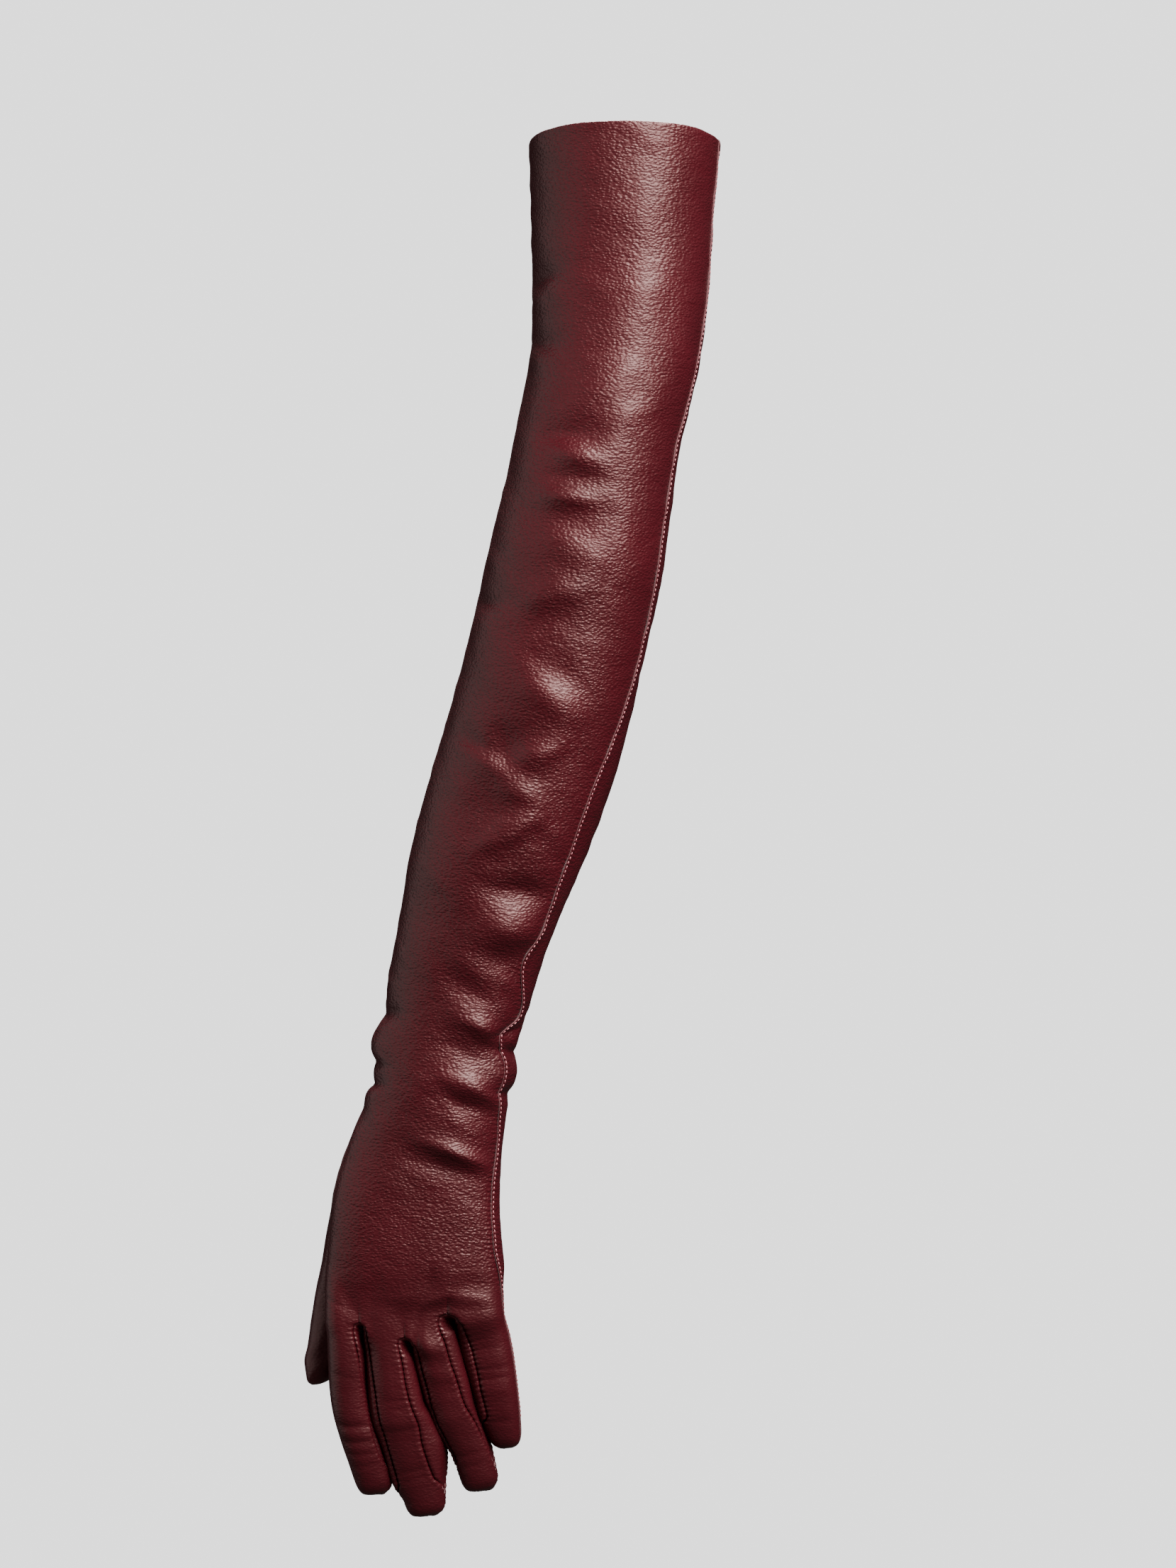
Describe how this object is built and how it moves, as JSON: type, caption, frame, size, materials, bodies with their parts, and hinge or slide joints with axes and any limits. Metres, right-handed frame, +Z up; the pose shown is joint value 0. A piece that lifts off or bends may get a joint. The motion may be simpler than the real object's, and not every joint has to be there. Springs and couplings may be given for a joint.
{
  "type": "long leather glove",
  "caption": "Opera-length dress glove for the left hand in thin smooth leather, in its worn shape, open at the top, with forked strips between the fingers",
  "frame": {"origin": "middle of the open mouth at the top of the sleeve, where the arm goes in", "axes": "+Z up along the upper arm and out of the mouth, +X towards the little-finger side, +Y towards the palm, -Y the back of the hand"},
  "size_m": [0.1827, 0.093, 0.6056],
  "materials": {
    "nappa_leather": "thin burgundy nappa with a fine grain and a soft shine"
  },
  "bodies": {
    "root": {"trank": "nappa_leather", "thumb": "nappa_leather", "fourchette_index_middle": "nappa_leather", "fourchette_middle_ring": "nappa_leather", "fourchette_ring_little": "nappa_leather"}
  },
  "joints": []
}
